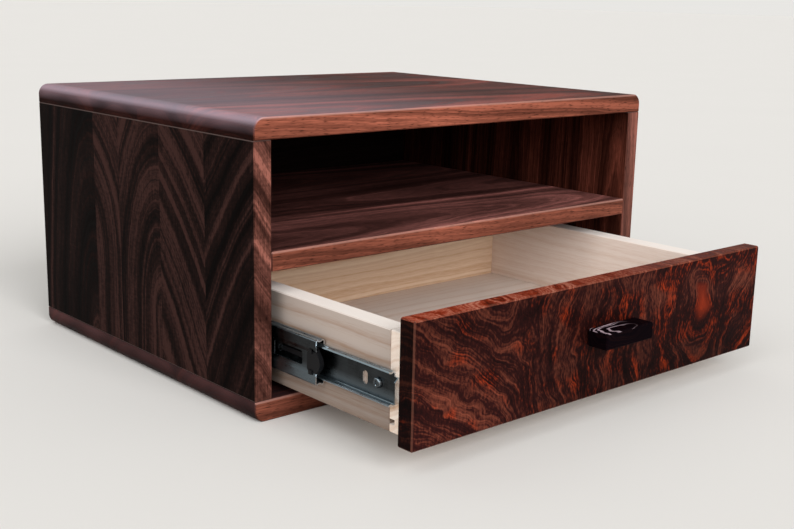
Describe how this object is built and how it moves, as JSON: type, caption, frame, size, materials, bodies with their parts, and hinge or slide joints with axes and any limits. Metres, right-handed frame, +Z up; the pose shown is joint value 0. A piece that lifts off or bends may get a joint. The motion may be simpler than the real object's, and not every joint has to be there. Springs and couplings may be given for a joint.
{
  "type": "wall-hung nightstand",
  "caption": "Floating bedside cabinet of dark walnut with rounded ends, an open cubby and one inset drawer on telescopic ball slides",
  "frame": {"origin": "centre of the wall face of the hanging cleat, where the cabinet bears on the wall", "axes": "+Z up, +Y into the wall, so the front with the drawer faces -Y; +X to the right of someone facing the front"},
  "size_m": [0.46, 0.5395, 0.238],
  "materials": {
    "walnut": "satin oil over straight and cathedral grain",
    "figured_walnut": "satin oil over strongly figured grain",
    "dark_wood": "satin oil, near black",
    "maple": "clear matt finish, pale",
    "plywood": "clear matt finish, pale veneer",
    "zinc": "zinc-plated rolled steel",
    "black_plastic": "moulded, matt black"
  },
  "bodies": {
    "case": {"top_panel": "walnut", "bottom_panel": "walnut", "left_side_panel": "walnut", "right_side_panel": "walnut", "middle_shelf": "walnut", "back_panel": "walnut", "hanging_cleat": "walnut", "cleat_screw_1": "zinc", "cleat_screw_2": "zinc", "cleat_screw_3": "zinc", "cleat_screw_4": "zinc", "left_case_member": "zinc", "left_case_member_screw_1": "zinc", "left_case_member_screw_2": "zinc", "left_case_member_screw_3": "zinc", "left_rear_buffer": "black_plastic", "right_case_member": "zinc", "right_case_member_screw_1": "zinc", "right_case_member_screw_2": "zinc", "right_case_member_screw_3": "zinc", "right_rear_buffer": "black_plastic"},
    "drawer": {"drawer_face": "figured_walnut", "face_screw_1": "zinc", "face_screw_2": "zinc", "face_screw_3": "zinc", "face_screw_4": "zinc", "drawer_pull": "dark_wood", "pull_screw_1": "zinc", "pull_screw_2": "zinc", "drawer_box_front": "maple", "drawer_box_left_side": "maple", "drawer_box_right_side": "maple", "drawer_box_back": "maple", "drawer_bottom": "plywood", "left_drawer_member": "zinc", "left_drawer_member_screw_1": "zinc", "left_drawer_member_screw_2": "zinc", "left_drawer_member_screw_3": "zinc", "right_drawer_member": "zinc", "right_drawer_member_screw_1": "zinc", "right_drawer_member_screw_2": "zinc", "right_drawer_member_screw_3": "zinc"},
    "left_intermediate": {"left_intermediate_member": "zinc", "left_front_bumper": "black_plastic"},
    "right_intermediate": {"right_intermediate_member": "zinc", "right_front_bumper": "black_plastic"},
    "left_outer_cage": {"left_outer_ball_cage": "zinc"},
    "right_outer_cage": {"right_outer_ball_cage": "zinc"},
    "left_inner_cage": {"left_inner_ball_cage": "zinc"},
    "right_inner_cage": {"right_inner_ball_cage": "zinc"},
    "left_lever": {"left_release_lever": "black_plastic"},
    "right_lever": {"right_release_lever": "black_plastic"}
  },
  "joints": [
    {"name": "drawer_slide", "type": "slide", "parent": "case", "child": "drawer", "axis": [0, -1, 0], "range_m": [-0.158, 0.142]},
    {"name": "left_intermediate_slide", "type": "slide", "parent": "case", "child": "left_intermediate", "axis": [0, -1, 0], "range_m": [-0.079, 0.071]},
    {"name": "right_intermediate_slide", "type": "slide", "parent": "case", "child": "right_intermediate", "axis": [0, -1, 0], "range_m": [-0.079, 0.071]},
    {"name": "left_outer_cage_slide", "type": "slide", "parent": "case", "child": "left_outer_cage", "axis": [0, -1, 0], "range_m": [-0.0395, 0.0355]},
    {"name": "right_outer_cage_slide", "type": "slide", "parent": "case", "child": "right_outer_cage", "axis": [0, -1, 0], "range_m": [-0.0395, 0.0355]},
    {"name": "left_inner_cage_slide", "type": "slide", "parent": "case", "child": "left_inner_cage", "axis": [0, -1, 0], "range_m": [-0.1185, 0.1065]},
    {"name": "right_inner_cage_slide", "type": "slide", "parent": "case", "child": "right_inner_cage", "axis": [0, -1, 0], "range_m": [-0.1185, 0.1065]},
    {"name": "left_lever_hinge", "type": "hinge", "parent": "drawer", "child": "left_lever", "pos_m": [-0.2025, -0.362, -0.132], "axis": [1, 0, 0], "range_deg": [-6, 6], "stiffness_Nm_per_rad": 0.05},
    {"name": "right_lever_hinge", "type": "hinge", "parent": "drawer", "child": "right_lever", "pos_m": [0.2025, -0.362, -0.132], "axis": [1, 0, 0], "range_deg": [-6, 6], "stiffness_Nm_per_rad": 0.05}
  ],
  "couplings": [
    {"joint": "left_intermediate_slide", "follows": "drawer_slide", "ratio": 0.5},
    {"joint": "right_intermediate_slide", "follows": "drawer_slide", "ratio": 0.5},
    {"joint": "left_outer_cage_slide", "follows": "drawer_slide", "ratio": 0.25},
    {"joint": "right_outer_cage_slide", "follows": "drawer_slide", "ratio": 0.25},
    {"joint": "left_inner_cage_slide", "follows": "drawer_slide", "ratio": 0.75},
    {"joint": "right_inner_cage_slide", "follows": "drawer_slide", "ratio": 0.75}
  ]
}
